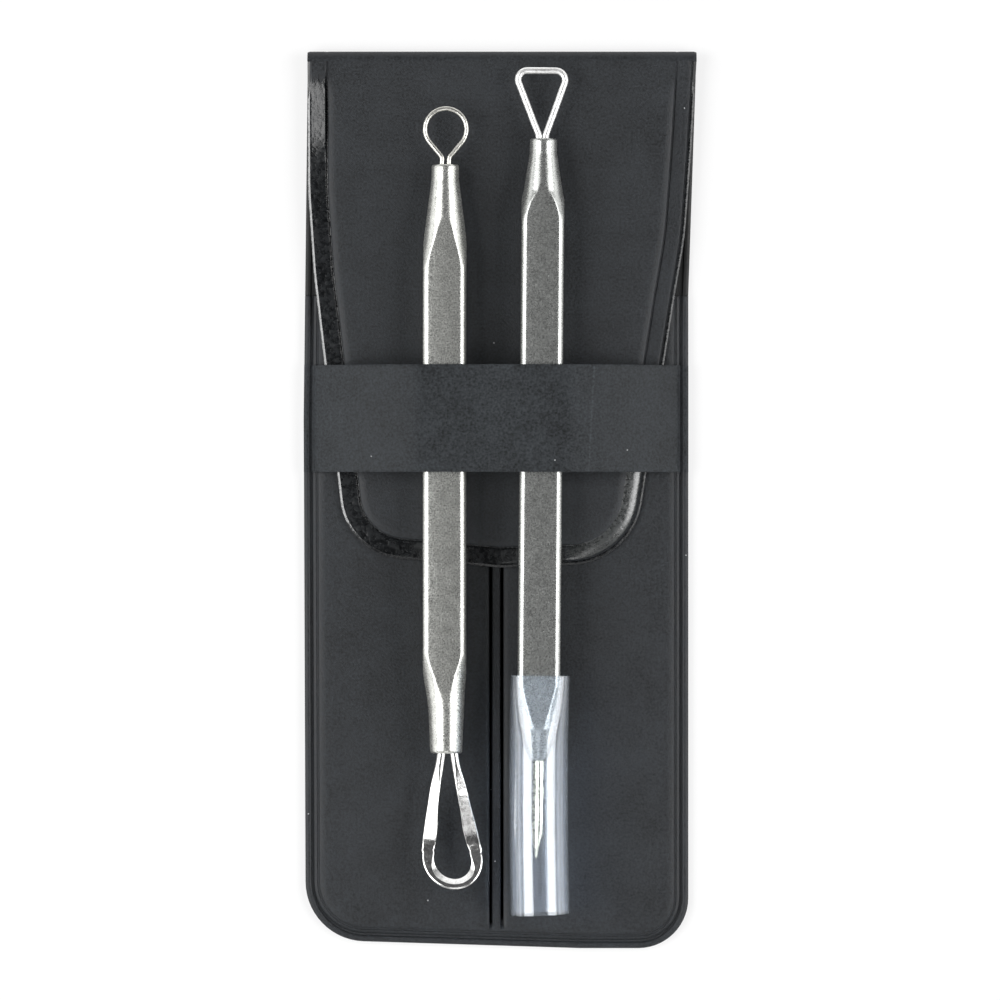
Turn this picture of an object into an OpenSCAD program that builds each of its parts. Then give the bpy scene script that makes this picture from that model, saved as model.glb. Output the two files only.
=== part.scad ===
// Two double-ended skin tools held under the band of a flat vinyl pouch.
// The set lies on its back: X runs across the pouch, +Y towards the fold of the flap, +Z up.

/* [Pouch] */
// Width over the widest points of pouch and flap
pouch_w = 59; // [56:0.5:66]
// Length from the fold to the bottom edge
pouch_l = 134.7; // [126:0.1:150]
// How far the right edge stands in from the flap's top corner
right_step = 1.2; // [0.6:0.1:2]
// How far the top corner on the left stands in
left_step = 0.6; // [0:0.1:1.2]
// Rise of the bottom edge on the left
bottom_rise = 1.3; // [0:0.1:2]
// Radius of the bottom left corner
corner_r_left = 9; // [5:0.5:12]
// Radius of the bottom right corner
corner_r_right = 7.5; // [5:0.5:12]
// Thickness of the outer vinyl sheet
sheet_t = 0.4; // [0.3:0.05:0.6]
// Thickness of the foam between back sheet and lining
foam_t = 0.3; // [0.2:0.05:0.6]
// Thickness of the lining sheet
lining_t = 0.25; // [0.2:0.05:0.4]

/* [Front pockets] */
// Length of the front sheet, from the bottom edge to the mouth of the pockets
front_l = 98; // [86:0.5:104]
// Height left free inside the flat pockets
pocket_gap = 0.3; // [0.2:0.05:0.6]
// Width of the weld round the edge
rim_w = 2.1; // [1.6:0.1:3]
// Width of the bead along the outside of the weld
bead_w = 0.9; // [0.6:0.1:1.1]
// Width of the groove inside the bead
groove_w = 0.5; // [0.3:0.05:0.6]
// Depth of the grooves
groove_d = 0.25; // [0.1:0.05:0.3]
// Step from the pocket's panel down to the weld
rim_drop = 0.4; // [0.2:0.05:0.5]
// Place of the weld between the pockets, left of the middle
seam_x = -0.55; // [-2:0.05:0]
// Width of that weld
seam_w = 2.2; // [1.8:0.1:3]

/* [Flap] */
// Length of the flap, from the fold to its tip
flap_l = 77.1; // [70:0.1:84]
// Thickness of the foam inside the flap
flap_foam_t = 0.65; // [0.6:0.05:0.9]
// Width of the flap's welded border
border_w = 2.9; // [2.2:0.1:4]
// Free height between flap and front sheet
flap_gap = 0.2; // [0.15:0.05:0.4]
// Distance of the flap's lower left corner from the middle
flap_left = 23.05; // [21:0.05:25]
// Distance of the flap's lower right corner from the middle
flap_right = 19.1; // [17:0.1:23]
// Radius of the flap's lower corners
flap_r = 9.8; // [6:0.1:12]
// Rise of the lower left corner above the tip
tip_rise_left = 2.1; // [1:0.1:3]
// Rise of the lower right corner above the tip
tip_rise_right = 0.85; // [0.5:0.05:2]
// Distance from the fold to where the flap's edges turn inwards
shoulder_from_fold = 26; // [20:0.5:32]
// How far the left edge has drawn in there
shoulder_left = 0.6; // [0.2:0.1:1.5]
// How far the right edge has drawn in there
shoulder_right = 2.3; // [1.6:0.1:3]

/* [Band] */
// Width of the band
band_w = 16.05; // [12:0.05:20]
// Distance of the band's upper edge from the fold
band_from_fold = 47.1; // [42:0.1:52]
// Thickness of the band
band_t = 0.5; // [0.4:0.05:0.8]
// Clearance between band and tools
band_clear = 0.25; // [0.2:0.05:0.5]

/* [Tool handles] */
// Width of a handle
handle_w = 6.4; // [6:0.1:7]
// Thickness of a handle
handle_t = 5.6; // [5.2:0.1:6]
// Radius of a handle's long edges
handle_r = 0.9; // [0.5:0.1:1]
// Clearance between the flap and the tools on it
tool_gap = 0.15; // [0.1:0.05:0.3]
// Play round the wires and the blade in their drilled holes
fit_gap = 0.02; // [0.01:0.01:0.05]
// Depth of the drilled holes
hole_d = 5; // [4:0.5:7]

/* [Loop tool] */
// Place of the loop tool, left of the middle
loop_tool_x = -8.3; // [-10:0.1:-6]
// Distance of the tool's upper tip from the fold
loop_tip_from_fold = 16.9; // [14:0.1:22]
// Length of the handle
loop_handle_l = 88.3; // [80:0.1:95]
// Outside diameter of the round loop
round_d = 6.9; // [6:0.1:8]
// Thickness of the round loop's wire
round_wire = 0.7; // [0.5:0.05:0.9]
// Distance of the round loop's centre from the handle's tip
round_reach = 5.3; // [4.6:0.1:6.5]
// Distance between the round loop's legs
round_legs = 1.05; // [1:0.05:1.2]
// Radius of the bends between its ring and its legs
round_bend_r = 1.6; // [1.2:0.4:1.6]
// Outside width of the teardrop loop
drop_w = 9; // [8:0.1:10]
// Reach of the teardrop loop from the handle's tip
drop_reach = 20.6; // [17:0.1:24]
// Width of the teardrop's flattened wire round its end
drop_wire = 1.65; // [1.4:0.05:1.8]
// Thickness of the flattened wire
drop_t = 0.7; // [0.5:0.05:0.9]
// Diameter of the teardrop's legs in the handle
drop_leg = 1.4; // [1.2:0.05:1.5]
// Distance between the teardrop's legs
drop_legs = 2; // [1.9:0.05:2.2]
// Outside width of the teardrop loop at its waist
drop_waist_w = 8.1; // [7.2:0.1:8.4]
// Distance of the waist from the handle's tip
drop_waist_from = 11.7; // [10:0.1:12.5]
// Width of the flattened wire at the waist
drop_waist_wire = 2.25; // [1.8:0.05:2.5]
// Lean of the teardrop loop to the right, in degrees
drop_lean = 2.5; // [0:0.5:4]
// Angle by which the loop's end is bent up, in degrees
drop_bend = 16; // [5:1:22]

/* [Lancet tool] */
// Place of the lancet tool, right of the middle
lancet_tool_x = 6.1; // [5:0.1:8]
// Lean of the lancet tool, in degrees
lancet_lean = -0.5; // [-1:0.1:0]
// Distance of the tool's upper tip from the fold
lancet_tip_from_fold = 13.3; // [12.5:0.1:18]
// Length of the handle
lancet_handle_l = 93; // [85:0.1:98]
// Outside width of the triangle loop
triangle_w = 8; // [7:0.1:9]
// Reach of the triangle loop from the handle's tip
triangle_reach = 10.9; // [9.5:0.1:12]
// Thickness of the triangle loop's wire
triangle_wire = 1; // [0.8:0.05:1.05]
// Distance between the triangle loop's legs
triangle_legs = 1.2; // [1.2:0.05:1.35]
// Diameter of the lancet
lancet_d = 1.5; // [1.2:0.1:1.8]
// Reach of the lancet from the handle's tip
lancet_reach = 14.1; // [12:0.1:16]
// Length of the ground point
point_l = 5.1; // [4:0.1:6]

/* [Sleeve] */
// Length of the clear sleeve
sleeve_l = 35.7; // [32:0.1:40]
// Wall of the sleeve
sleeve_wall = 0.3; // [0.2:0.05:0.3]
// Play between the sleeve and the handle's edges
sleeve_play = 0.035; // [0.02:0.005:0.08]
// How far the sleeve's mouth stands above the start of the handle's lower taper
sleeve_over = 0.6; // [0.2:0.1:2]

/* [Hidden] */
$fn = 64;
eps = 0.01;
arc_steps = 12;

vinyl = [0.2, 0.21, 0.22];
vinyl_inside = [0.13, 0.13, 0.14];
foam_grey = [0.5, 0.5, 0.5];
satin_steel = [0.62, 0.63, 0.62];
bright_steel = [0.8, 0.81, 0.82];
clear_blue = [0.55, 0.62, 0.72, 0.45];

// Heights of the layers, from the table up
lining_z = sheet_t + foam_t;
lining_top = lining_z + lining_t;
pocket_top_z = lining_top + pocket_gap;
front_top = pocket_top_z + sheet_t;
rim_top = front_top - rim_drop;
flap_z = front_top + flap_gap;
flap_foam_z = flap_z + lining_t;
border_top = flap_foam_z + sheet_t;
flap_sheet_z = flap_foam_z + flap_foam_t;
flap_top = flap_sheet_z + sheet_t;

// Handle edges: half the diagonal over the rounded edges
handle_edge = norm([handle_w / 2 - handle_r, handle_t / 2 - handle_r]) + handle_r;
sleeve_r = handle_edge + sleeve_play;

// The tools lie on the flap, and the sleeve stays clear of the front sheet
tool_z = max(flap_top + tool_gap + handle_t / 2, front_top + tool_gap + sleeve_r + sleeve_wall);
band_z = tool_z + handle_t / 2 + band_clear;

// The fold is a half ring, whose axis is the flap's hinge
fold_r = flap_top / 2;
fold_y = pouch_l / 2 - fold_r;
fold_left = -pouch_w / 2 + left_step;
fold_right = pouch_w / 2;
fold_lead = 2;
lining_end_y = fold_y - fold_lead;

// Edges of the pouch
left_x = -pouch_w / 2;
right_x = pouch_w / 2 - right_step;
bottom_y = -pouch_l / 2;
mouth_y = bottom_y + front_l;
band_y = pouch_l / 2 - band_from_fold - band_w;
band_mid_y = band_y + band_w / 2;
bottom_flat = 12;

// Places along the flap
tip_y = pouch_l / 2 - flap_l;
shoulder_y = pouch_l / 2 - shoulder_from_fold;

// Width of the walls that join the raised panels to their welds
wall = 0.5;
// Gap round a sheet or foam that lies inside a welded edge
inner_gap = 0.1;

loop_top_y = pouch_l / 2 - loop_tip_from_fold;
loop_end_y = loop_top_y - loop_handle_l;
lancet_top_y = pouch_l / 2 - lancet_tip_from_fold;
lancet_end_y = lancet_top_y - lancet_handle_l;
lancet_mid_y = (lancet_top_y + lancet_end_y) / 2;

function unit(v) = v / norm(v);

// Where the line through p along u meets the line through q along v
function line_meet(p, u, q, v) = p + u * cross(q - p, v) / cross(u, v);

// An outline that runs anticlockwise, with edge i moved inwards by d[i]
function inset(pts, d) = [
    for (i = [0 : len(pts) - 1])
        let (
            a = pts[(i + len(pts) - 1) % len(pts)],
            b = pts[i],
            c = pts[(i + 1) % len(pts)],
            u = unit(b - a),
            v = unit(c - b),
            before = d[(i + len(pts) - 1) % len(pts)]
        )
        line_meet(a + before * [-u.y, u.x], u, b + d[i] * [-v.y, v.x], v)
];

// The arc of radius r that rounds corner b of the outline a, b, c
function corner_arc(a, b, c, r) =
    let (
        u = unit(a - b),
        v = unit(c - b),
        half = acos(u * v) / 2,
        centre = b + unit(u + v) * r / sin(half),
        from = b + u * r / tan(half) - centre,
        to = b + v * r / tan(half) - centre,
        start = atan2(from.y, from.x),
        turn = (atan2(to.y, to.x) - start + 540) % 360 - 180
    )
    [for (k = [0 : arc_steps]) centre + r * [cos(start + turn * k / arc_steps), sin(start + turn * k / arc_steps)]];

// The outline with corner i rounded to radius r[i], or left sharp where r[i] is 0
function rounded(pts, r) = [
    for (i = [0 : len(pts) - 1])
        each (r[i] > 0
            ? corner_arc(pts[(i + len(pts) - 1) % len(pts)], pts[i], pts[(i + 1) % len(pts)], r[i])
            : [pts[i]])
];

// The pouch, anticlockwise from its top right corner
pouch_points = [
    [fold_right, fold_y],
    [fold_left, fold_y],
    [left_x, band_mid_y],
    [left_x + left_step / 2, bottom_y + bottom_rise],
    [bottom_flat, bottom_y],
    [right_x, bottom_y],
    [right_x, mouth_y]
];

// The pouch's outline below y = top, moved in by d at the sides and the bottom
module pouch_outline(top, d = 0) {
    points = inset(pouch_points, [0, d, d, d, d, d, d]);
    left_r = max(corner_r_left - d, 1);
    right_r = max(corner_r_right - d, 1);
    intersection() {
        polygon(rounded(points, [0, 0, 0, left_r, 0, right_r, 0]));
        translate([left_x - 1, bottom_y - 1])
            square([pouch_w + 2, top - bottom_y + 1]);
    }
}

flap_points = [
    [fold_right, fold_y],
    [fold_left, fold_y],
    [fold_left + shoulder_left, shoulder_y],
    [-flap_left, tip_y + tip_rise_left],
    [0, tip_y],
    [flap_right, tip_y + tip_rise_right],
    [fold_right - shoulder_right, shoulder_y]
];

// The flap's outline, moved in by d at the sides and the tip and by top at the fold
module flap_outline(d = 0, top = 0) {
    points = inset(flap_points, [top, d, d, d, d, d, d]);
    corner = max(flap_r - d, 1);
    polygon(rounded(points, [0, 0, 0, corner, 0, corner, 0]));
}

// Extrudes its children from z = low to z = high
module layer(low, high) {
    translate([0, 0, low])
        linear_extrude(high - low)
            children();
}

// Extrudes its children, drawn in Y and Z, along X from x = low to x = high
module across(low, high) {
    translate([low, 0, 0])
        rotate([90, 0, 90])
            linear_extrude(high - low)
                children();
}

// Extrudes its children, drawn in X and Z, along Y from y = low to y = high
module along(low, high) {
    translate([0, high, 0])
        rotate([90, 0, 0])
            linear_extrude(high - low)
                children();
}

// One quarter of the fold's ring: the lower one for side = -1, the upper one for side = 1
module fold_quarter(side) {
    across(fold_left, fold_right)
        translate([fold_y, fold_r])
            intersection() {
                difference() {
                    circle(fold_r);
                    circle(fold_r - sheet_t);
                }
                translate([0, side > 0 ? 0 : -fold_r])
                    square(fold_r);
            }
}

// The outer sheet of the back, up to the middle of the fold
module back_sheet() {
    color(vinyl)
        union() {
            layer(0, sheet_t)
                pouch_outline(fold_y);
            fold_quarter(-1);
        }
}

// Thin foam sealed between back sheet and lining
module back_foam() {
    color(foam_grey)
        layer(sheet_t, lining_z)
            pouch_outline(lining_end_y - rim_w - inner_gap, rim_w + wall + 2 * inner_gap);
}

// The lining: inside the pockets it lies free, and above them it is welded to the back sheet
module back_lining() {
    color(vinyl_inside)
        difference() {
            layer(sheet_t, lining_top)
                union() {
                    pouch_outline(lining_end_y, rim_w + wall + inner_gap);
                    difference() {
                        pouch_outline(lining_end_y);
                        translate([left_x - 1, bottom_y - 1])
                            square([pouch_w + 2, front_l + 1 + inner_gap]);
                    }
                }
            layer(sheet_t - eps, lining_z)
                pouch_outline(lining_end_y - rim_w, rim_w + wall + 1.5 * inner_gap);
        }
}

// The groove pressed beside the bead of the weld, from z = low up
module rim_groove(low) {
    layer(low, low + 1)
        difference() {
            pouch_outline(fold_y, bead_w);
            pouch_outline(fold_y, bead_w + groove_w);
        }
}

// The front sheet, welded at its sides, along the bottom and between the two pockets
module front_sheet() {
    seam_left = seam_x - seam_w / 2;
    seam_low = bottom_y + rim_w;
    color(vinyl)
        difference() {
            union() {
                layer(sheet_t, rim_top)
                    pouch_outline(mouth_y);
                layer(sheet_t, front_top)
                    pouch_outline(mouth_y, rim_w);
            }
            rim_groove(rim_top - groove_d);
            // room for lining and foam, which also run below the weld between the pockets
            layer(sheet_t - eps, lining_top)
                pouch_outline(fold_y, rim_w + wall);
            // the two pockets
            layer(sheet_t - eps, pocket_top_z)
                difference() {
                    pouch_outline(fold_y, rim_w + wall);
                    translate([seam_left - wall, bottom_y])
                        square([seam_w + 2 * wall, pouch_l]);
                }
            // the sunk strip of that weld, with its two grooves
            layer(front_top - groove_d, front_top + 1)
                translate([seam_left, seam_low])
                    square([seam_w, pouch_l]);
            for (x = [seam_left, seam_left + seam_w - groove_w])
                layer(front_top - 2 * groove_d, front_top + 1)
                    translate([x, seam_low])
                        square([groove_w, pouch_l]);
        }
}

// Height of the band's underside at share u of the way from the weld to the tool's edge
function band_rise(u) = rim_top + (band_z - rim_top) * pow(sin(90 * u), 0.72);

band_steps = 14;
// The band's ends are welded flat over bead and groove, up to band_foot short of the panel
band_foot = 0.6;
band_left = left_x + rim_w - band_foot;
band_right = right_x - rim_w + band_foot;
band_top_left = loop_tool_x - handle_w / 2 - 0.6;
band_top_right = lancet_tool_x + handle_w / 2 + 0.6;

// Underside of the band from left to right, in X and Z
band_path = concat(
    [[left_x, rim_top]],
    [for (i = [0 : band_steps])
        let (u = pow(i / band_steps, 1.6))
        [band_left + (band_top_left - band_left) * u, band_rise(u)]],
    [for (i = [band_steps : -1 : 0])
        let (u = pow(i / band_steps, 1.6))
        [band_right + (band_top_right - band_right) * u, band_rise(u)]],
    [[right_x, rim_top]]
);

// A path moved by t to its left
function beside(path, t) = [
    for (i = [0 : len(path) - 1])
        let (
            u = unit(path[i] - path[max(i - 1, 0)] + (i == 0 ? [1, 0] : [0, 0])),
            v = unit(path[min(i + 1, len(path) - 1)] - path[i] + (i == len(path) - 1 ? [1, 0] : [0, 0])),
            m = unit(u + v)
        )
        path[i] + t / max(u * m, 0.7) * [-m.y, m.x]
];

// The band over the tools, with its ends welded onto the rims
module band() {
    outer = beside(band_path, band_t);
    color(vinyl)
        difference() {
            intersection() {
                along(band_y, band_y + band_w)
                    polygon(concat(band_path, [for (i = [len(outer) - 1 : -1 : 0]) outer[i]]));
                layer(0, band_z + 2 * band_t)
                    pouch_outline(fold_y);
            }
            rim_groove(rim_top + band_t - groove_d);
        }
}

// The outer sheet of the flap, raised over its foam inside a flat welded border
module flap_sheet() {
    color(vinyl)
        union() {
            difference() {
                union() {
                    layer(flap_foam_z, border_top)
                        flap_outline();
                    layer(flap_foam_z, flap_top)
                        flap_outline(border_w);
                    layer(flap_foam_z, flap_top)
                        intersection() {
                            flap_outline();
                            translate([fold_left, fold_y - fold_lead])
                                square([pouch_w, fold_lead]);
                        }
                }
                layer(flap_foam_z - eps, flap_sheet_z)
                    flap_outline(border_w + wall, fold_lead);
            }
            fold_quarter(1);
        }
}

// Foam that fills the flap inside its border
module flap_foam() {
    color(foam_grey)
        layer(flap_foam_z, flap_sheet_z)
            flap_outline(border_w + wall + inner_gap, fold_lead + inner_gap);
}

// The inner face of the flap
module flap_lining() {
    color(vinyl_inside)
        layer(flap_z, flap_foam_z)
            flap_outline(0, fold_lead / 2);
}

// Cross-section of a handle
module handle_section() {
    w = handle_w / 2;
    t = handle_t / 2;
    r = handle_r;
    polygon(rounded([[w, t], [-w, t], [-w, -t], [w, -t]], [r, r, r, r]));
}

// A bar along Y whose ends are turned down to profile, a list of [radius, y]
module turned_bar(profile) {
    low = profile[0].y;
    high = profile[len(profile) - 1].y;
    intersection() {
        along(low, high)
            handle_section();
        rotate([-90, 0, 0])
            rotate_extrude()
                polygon(concat([[0, low]], profile, [[0, high]]));
    }
}

// A round hole along Y, of diameter d and depth depth, that opens at y = mouth towards side
module tip_hole(x, mouth, side, d) {
    translate([x, mouth + side * 1, 0])
        rotate([side * 90, 0, 0])
            cylinder(h = hole_d + 1, d = d + 2 * fit_gap);
}

// A straight wire along Y from y = low to y = high
module wire(x, low, high, d) {
    translate([x, low, 0])
        rotate([-90, 0, 0])
            cylinder(h = high - low, d = d);
}

// Radii and lengths of the handles' turned ends
tip_r = 2.03;
tip_chamfer = 0.25;
tip_straight = 2.2;
taper_r = 3.2;
taper_l = 11.5;
shoulder_l = 6;
full_r = handle_edge + 0.3;
loop_end_r = 2.4;
lancet_end_r = 1.35;
lancet_taper_l = 12.15;

// The slender upper end, the same on both handles, up to y = top
function upper_end(top) = [
    [full_r, top - taper_l - shoulder_l],
    [taper_r, top - taper_l],
    [tip_r + 0.02, top - tip_straight],
    [tip_r, top - tip_chamfer],
    [tip_r - tip_chamfer, top]
];

// Bends of the wires
leg_bend_r = 1.2;
ring_lap = 1;
leg_bend_y = 0.3;
corner_bend_r = 1.4;
hole_end_gap = 0.2;
drop_r_out = drop_w / 2;
drop_bend_from = 11;
drop_bend_over = 4.5;
side_steps = 24;

module place_loop_tool() {
    translate([loop_tool_x, 0, tool_z])
        children();
}

module place_lancet_tool() {
    translate([lancet_tool_x, lancet_mid_y, tool_z])
        rotate([0, 0, lancet_lean])
            translate([0, -lancet_mid_y, 0])
                children();
}

// Satin bar of the loop tool, turned down at both ends and drilled for the wires
module loop_handle() {
    end = loop_end_y;
    lower_end = [
        [loop_end_r - tip_chamfer, end],
        [loop_end_r, end + tip_chamfer],
        [2.64, end + 6.3],
        [2.85, end + 8.8],
        [3.2, end + 11.6],
        [3.75, end + 14.2],
        [full_r, end + 16]
    ];
    color(satin_steel)
        place_loop_tool()
            difference() {
                turned_bar(concat(lower_end, upper_end(loop_top_y)));
                for (side = [-1, 1]) {
                    tip_hole(side * round_legs / 2, loop_top_y, 1, round_wire);
                    tip_hole(side * drop_legs / 2, end, -1, drop_leg);
                }
            }
}

// A stretch of a bent wire: an arc of radius r round at, from angle start over angle turn
module bend(at, r, start, turn, d) {
    translate([at.x, at.y, 0])
        rotate([0, 0, start])
            rotate_extrude(angle = turn)
                translate([r, 0])
                    circle(d = d);
}

// Round wire loop: an open ring, whose ends bend back into two parallel legs
module round_loop() {
    ring_r = (round_d - round_wire) / 2;
    leg_x = round_legs / 2;
    bend_x = leg_x + round_bend_r;
    bend_y = -sqrt(pow(ring_r + round_bend_r, 2) - pow(bend_x, 2));
    opening = atan2(bend_x, -bend_y);
    color(bright_steel)
        place_loop_tool()
            translate([0, loop_top_y + round_reach, 0]) {
                // the ring's ends run a little way into the bends, so that the wire is one solid
                bend([0, 0], ring_r, opening - 90 - ring_lap, 360 - 2 * (opening - ring_lap), round_wire);
                for (side = [0, 1])
                    mirror([side, 0, 0]) {
                        bend([bend_x, bend_y], round_bend_r, 90 + opening, 90 - opening, round_wire);
                        wire(leg_x, -round_reach - hole_d + hole_end_gap, bend_y, round_wire);
                    }
            }
}

// Half the thickness of the teardrop's wire at distance s from the handle
function drop_half_t(s) =
    let (u = min(max((s - 1.5) / 4.5, 0), 1))
    (drop_leg + (drop_t - drop_leg) * (3 * u * u - 2 * u * u * u)) / 2;

// Height of the teardrop's wire at distance s from the handle: flat, then bent up towards its end
function drop_height(s) =
    let (u = s - drop_bend_from, v = min(max(u, 0), drop_bend_over))
    tan(drop_bend) * (v * v / (2 * drop_bend_over) + max(u - drop_bend_over, 0));

// Outline of a drop: half as wide as neck at y = 0 and as waist at the waist, round at the end
module drop_shape(neck, waist, r) {
    centre_y = drop_r_out - drop_reach;
    waist_y = -drop_waist_from;
    up = waist_y - centre_y;
    tangent = atan2(up, waist) - acos(r / norm([waist, up]));
    polygon(concat(
        [[waist, waist_y], [neck, 0], [-neck, 0], [-waist, waist_y]],
        [for (k = [0 : 2 * arc_steps])
            let (a = 180 - tangent + (180 + 2 * tangent) * k / (2 * arc_steps))
            [r * cos(a), centre_y + r * sin(a)]]
    ));
}

// Teardrop loop of flattened wire, with two round legs in the handle
module teardrop_loop() {
    neck = (drop_legs + drop_leg) / 2;
    waist = drop_waist_w / 2;
    lead = 0.3;
    s = [for (i = [0 : side_steps]) lead + (drop_reach + 1 - lead) * i / side_steps];
    color(bright_steel)
        place_loop_tool()
            translate([0, loop_end_y, 0]) {
                rotate([0, 0, drop_lean])
                    intersection() {
                        layer(-drop_leg, drop_reach / 2)
                            difference() {
                                drop_shape(neck, waist, drop_r_out);
                                drop_shape(neck - drop_leg, waist - drop_waist_wire, drop_r_out - drop_wire);
                            }
                        across(-drop_w, drop_w)
                            polygon(concat(
                                [for (v = s) [-v, drop_height(v) + drop_half_t(v)]],
                                [for (i = [side_steps : -1 : 0]) [-s[i], drop_height(s[i]) - drop_half_t(s[i])]]
                            ));
                    }
                for (side = [-1, 1])
                    wire(side * drop_legs / 2, -3 * lead, hole_d - hole_end_gap, drop_leg);
            }
}

// Satin bar of the lancet tool
module lancet_handle() {
    end = lancet_end_y;
    lower_end = [
        [lancet_end_r - tip_chamfer, end],
        [lancet_end_r, end + tip_chamfer],
        [2.2, end + 2.4],
        [2.8, end + 4.7],
        [3.3, end + 8.2],
        [3.7, end + 10.6],
        [full_r, end + lancet_taper_l]
    ];
    color(satin_steel)
        place_lancet_tool()
            difference() {
                turned_bar(concat(lower_end, upper_end(lancet_top_y)));
                for (side = [-1, 1])
                    tip_hole(side * triangle_legs / 2, lancet_top_y, 1, triangle_wire);
                tip_hole(0, end, -1, lancet_d);
            }
}

// Triangle loop of round wire, with rounded corners and two parallel legs
module triangle_loop() {
    corner = [triangle_w / 2 - corner_bend_r - triangle_wire / 2,
              triangle_reach - corner_bend_r - triangle_wire / 2];
    foot = [triangle_legs / 2 + leg_bend_r, leg_bend_y];
    span = foot - corner;
    slant = atan2(-span.y, span.x) - acos((corner_bend_r + leg_bend_r) / norm(span));
    from = foot + leg_bend_r * [-cos(slant), sin(slant)];
    to = corner + corner_bend_r * [cos(slant), -sin(slant)];
    color(bright_steel)
        place_lancet_tool()
            translate([0, lancet_top_y, 0]) {
                translate([-corner.x, corner.y + corner_bend_r, 0])
                    rotate([90, 0, 90])
                        cylinder(h = 2 * corner.x, d = triangle_wire);
                for (side = [0, 1])
                    mirror([side, 0, 0]) {
                        bend(corner, corner_bend_r, -slant, 90 + slant, triangle_wire);
                        translate([from.x, from.y, 0])
                            rotate([-90, 0, -slant])
                                cylinder(h = norm(to - from), d = triangle_wire);
                        bend(foot, leg_bend_r, 180 - slant, slant, triangle_wire);
                        wire(triangle_legs / 2, hole_end_gap - hole_d, leg_bend_y, triangle_wire);
                    }
            }
}

// Rod of the lancet with a ground, four-sided point
module lancet() {
    tip = lancet_end_y - lancet_reach;
    far = lancet_end_y + hole_d - hole_end_gap;
    r = lancet_d / 2;
    color(bright_steel)
        place_lancet_tool()
            intersection() {
                wire(0, tip, far, lancet_d);
                layer(-lancet_d, lancet_d)
                    ground_point(tip, far, r, 0.06);
                across(-lancet_d, lancet_d)
                    rotate(90)
                        mirror([0, 1])
                            ground_point(tip, far, r, 0.12);
            }
}

// Outline of a rod along Y that narrows from half width r to half width end_r at its tip
module ground_point(tip, far, r, end_r) {
    polygon([
        [r + eps, far + eps],
        [r + eps, tip + point_l],
        [end_r, tip],
        [-end_r, tip],
        [-r - eps, tip + point_l],
        [-r - eps, far + eps]
    ]);
}

// Clear sleeve over the lancet, open at both ends
module sleeve() {
    mouth = lancet_end_y + lancet_taper_l + sleeve_over;
    color(clear_blue)
        place_lancet_tool()
            translate([0, mouth, 0])
                rotate([90, 0, 0])
                    difference() {
                        cylinder(h = sleeve_l, r = sleeve_r + sleeve_wall);
                        translate([0, 0, -1])
                            cylinder(h = sleeve_l + 2, r = sleeve_r);
                    }
}

back_sheet();
back_foam();
back_lining();
front_sheet();
band();
flap_sheet();
flap_foam();
flap_lining();
loop_handle();
round_loop();
teardrop_loop();
lancet_handle();
triangle_loop();
lancet();
sleeve();
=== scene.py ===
import math
import bpy
import numpy as np
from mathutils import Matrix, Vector
from mathutils.geometry import delaunay_2d_cdt


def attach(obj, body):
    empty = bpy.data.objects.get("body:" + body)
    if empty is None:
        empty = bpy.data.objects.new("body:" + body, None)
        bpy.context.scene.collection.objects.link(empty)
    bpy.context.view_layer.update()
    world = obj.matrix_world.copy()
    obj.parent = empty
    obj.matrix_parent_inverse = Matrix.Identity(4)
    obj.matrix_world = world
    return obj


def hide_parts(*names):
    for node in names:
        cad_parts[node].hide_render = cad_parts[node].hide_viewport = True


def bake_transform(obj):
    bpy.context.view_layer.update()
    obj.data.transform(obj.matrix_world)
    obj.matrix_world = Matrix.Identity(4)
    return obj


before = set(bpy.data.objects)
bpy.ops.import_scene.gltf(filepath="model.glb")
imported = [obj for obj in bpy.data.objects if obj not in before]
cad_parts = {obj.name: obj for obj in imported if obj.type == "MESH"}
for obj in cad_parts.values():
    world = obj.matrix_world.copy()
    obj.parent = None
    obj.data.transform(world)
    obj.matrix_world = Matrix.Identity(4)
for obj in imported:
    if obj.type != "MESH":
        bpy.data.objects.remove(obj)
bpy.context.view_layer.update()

mm = 0.001
# every length below is in mm, in the frame of the part's source, unless it says otherwise


# outlines and sheets

def roundedLine(points, radii, step=1.2, arcSteps=14):
    # an open line with its corners rounded, cut into stretches no longer than step
    line = [points[0]]
    for before, corner, after, radius in zip(points, points[1:], points[2:], radii):
        a, b, c = np.array(before), np.array(corner), np.array(after)
        if radius == 0:
            line.append(corner)
            continue
        u = (a - b) / np.linalg.norm(a - b)
        v = (c - b) / np.linalg.norm(c - b)
        half = math.acos(float(u @ v)) / 2
        centre = b + (u + v) / np.linalg.norm(u + v) * radius / math.sin(half)
        first = b + u * radius / math.tan(half) - centre
        last = b + v * radius / math.tan(half) - centre
        start = math.atan2(first[1], first[0])
        turn = (math.atan2(last[1], last[0]) - start + 3 * math.pi) % (2 * math.pi) - math.pi
        for k in range(arcSteps + 1):
            angle = start + turn * k / arcSteps
            line.append(tuple(centre + radius * np.array([math.cos(angle), math.sin(angle)])))
    line.append(points[-1])
    dense = []
    for p, q in zip(line, line[1:]):
        p, q = np.array(p), np.array(q)
        pieces = max(1, math.ceil(np.linalg.norm(q - p) / step))
        dense += [p + (q - p) * k / pieces for k in range(pieces)]
    return np.array(dense + [np.array(line[-1])])


def insetLine(line, d):
    # the line moved to its left by d, with both ends kept at their height
    ahead = np.diff(line, axis=0)
    ahead /= np.linalg.norm(ahead, axis=1)[:, None]
    side = np.stack([-ahead[:, 1], ahead[:, 0]], axis=1)
    side = np.vstack([side[:1], side[:-1] + side[1:], side[-1:]])
    side /= np.linalg.norm(side, axis=1)[:, None]
    moved = line + d * side
    moved[0, 1], moved[-1, 1] = line[0, 1], line[-1, 1]
    return moved


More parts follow.
